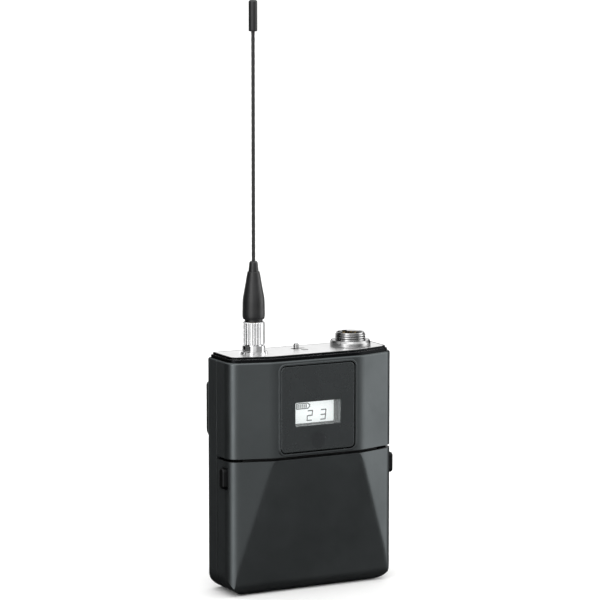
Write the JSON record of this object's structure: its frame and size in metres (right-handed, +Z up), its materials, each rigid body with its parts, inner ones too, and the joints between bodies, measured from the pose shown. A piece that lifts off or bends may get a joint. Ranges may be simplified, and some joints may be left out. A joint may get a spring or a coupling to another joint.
{
  "type": "wireless bodypack transmitter",
  "caption": "Faceted pocket-size wireless bodypack transmitter: screw-on whip antenna, threaded input jack, recessed display, latched battery door, menu buttons and belt clip.",
  "frame": {"origin": "centre of the case's base, in the plane that the case stands on", "axes": "+Z up through the top plate, display facing -Y, belt clip on +Y, +X to the display's right"},
  "size_m": [0.069, 0.0287, 0.2106],
  "materials": {
    "case_paint": "satin",
    "panel_gloss": "gloss",
    "clear_window": "gloss",
    "ir_filter": "gloss",
    "recess_grey": "matte",
    "lcd_glass": "satin",
    "frame_black": "satin",
    "plate_satin": "satin",
    "bright_nickel": "polished",
    "satin_nickel": "satin",
    "gold_contact": "polished",
    "white_insulator": "matte",
    "black_insulator": "matte",
    "boot_rubber": "satin",
    "whip_black": "satin",
    "latch_black": "satin",
    "lamp_lens": "gloss",
    "board_green": "satin",
    "shield_tin": "satin",
    "switch_black": "matte",
    "button_grey": "matte",
    "deck_black": "matte",
    "tray_black": "matte",
    "spring_nickel": "satin",
    "cell_wrap": "gloss",
    "pad_foam": "matte",
    "screw_black": "satin",
    "clip_black": "satin",
    "pin_steel": "satin"
  },
  "bodies": {
    "case": {"back_housing": "case_paint", "front_housing": "case_paint", "door_hinge_pins": "pin_steel", "display_panel": "panel_gloss", "lcd_window": "clear_window", "ir_window": "ir_filter", "lcd_shroud": "recess_grey", "lcd_module": "lcd_glass", "main_board": "board_green", "rf_shield": "shield_tin", "board_screws": "screw_black", "case_screws": "screw_black", "button_panel": "deck_black", "keypad_board": "board_green", "tact_switches": "switch_black", "battery_tray": "tray_black", "battery_contacts": "spring_nickel", "battery_springs": "spring_nickel", "battery_lower": "cell_wrap", "battery_upper": "cell_wrap", "top_frame": "frame_black", "top_plate": "plate_satin", "switch_body": "switch_black", "status_led": "lamp_lens", "sma_connector": "bright_nickel", "sma_insulator": "white_insulator", "sma_contact": "gold_contact", "sma_washer": "bright_nickel", "sma_nut": "bright_nickel", "jack_shell": "satin_nickel", "jack_nut": "satin_nickel", "jack_insulator": "black_insulator", "jack_pins": "gold_contact", "clip_root": "clip_black", "clip_screws": "screw_black"},
    "door": {"battery_door": "case_paint", "battery_pad": "pad_foam"},
    "latch_left": {"latch_left": "latch_black"},
    "latch_right": {"latch_right": "latch_black"},
    "antenna": {"antenna_core": "gold_contact", "antenna_boot": "boot_rubber", "antenna_whip": "whip_black", "antenna_tip": "boot_rubber"},
    "antenna_nut": {"antenna_nut": "bright_nickel"},
    "power_switch": {"switch_knob": "satin_nickel"},
    "button_exit": {"button_exit": "button_grey"},
    "button_down": {"button_down": "button_grey"},
    "button_up": {"button_up": "button_grey"},
    "button_enter": {"button_enter": "button_grey"},
    "clip": {"belt_clip": "clip_black"}
  },
  "joints": [
    {"name": "door_hinge", "type": "hinge", "parent": "case", "child": "door", "pos_m": [0, 0.002, 0.0014], "axis": [1, 0, 0], "range_deg": [0, 95]},
    {"name": "latch_left_press", "type": "slide", "parent": "door", "child": "latch_left", "axis": [1, 0, 0], "range_m": [0, 0.0015], "stiffness_N_per_m": 1200, "springref_m": -0.001},
    {"name": "latch_right_press", "type": "slide", "parent": "door", "child": "latch_right", "axis": [-1, 0, 0], "range_m": [0, 0.0015], "stiffness_N_per_m": 1200, "springref_m": -0.001},
    {"name": "antenna_lift", "type": "slide", "parent": "case", "child": "antenna", "axis": [0, 0, 1], "range_m": [0, 0.00353]},
    {"name": "nut_turn", "type": "hinge", "parent": "antenna", "child": "antenna_nut", "pos_m": [-0.0193, 0.0008, 0.0932], "axis": [0, 0, 1], "range_deg": [0, 1800]},
    {"name": "switch_slide", "type": "slide", "parent": "case", "child": "power_switch", "axis": [1, 0, 0], "range_m": [0, 0.0024]},
    {"name": "clip_flex", "type": "hinge", "parent": "case", "child": "clip", "pos_m": [0, 0.0142, 0.075], "axis": [1, 0, 0], "range_deg": [0, 14], "stiffness_Nm_per_rad": 1.2, "springref_deg": -5.73},
    {"name": "button_exit_press", "type": "slide", "parent": "case", "child": "button_exit", "axis": [0, 1, 0], "range_m": [0, 0.0004], "stiffness_N_per_m": 800, "springref_m": -0.0005},
    {"name": "button_down_press", "type": "slide", "parent": "case", "child": "button_down", "axis": [0, 1, 0], "range_m": [0, 0.0004], "stiffness_N_per_m": 800, "springref_m": -0.0005},
    {"name": "button_up_press", "type": "slide", "parent": "case", "child": "button_up", "axis": [0, 1, 0], "range_m": [0, 0.0004], "stiffness_N_per_m": 800, "springref_m": -0.0005},
    {"name": "button_enter_press", "type": "slide", "parent": "case", "child": "button_enter", "axis": [0, 1, 0], "range_m": [0, 0.0004], "stiffness_N_per_m": 800, "springref_m": -0.0005}
  ],
  "couplings": [
    {"joint": "nut_turn", "follows": "antenna_lift", "rad_per_m": 8904.8}
  ]
}
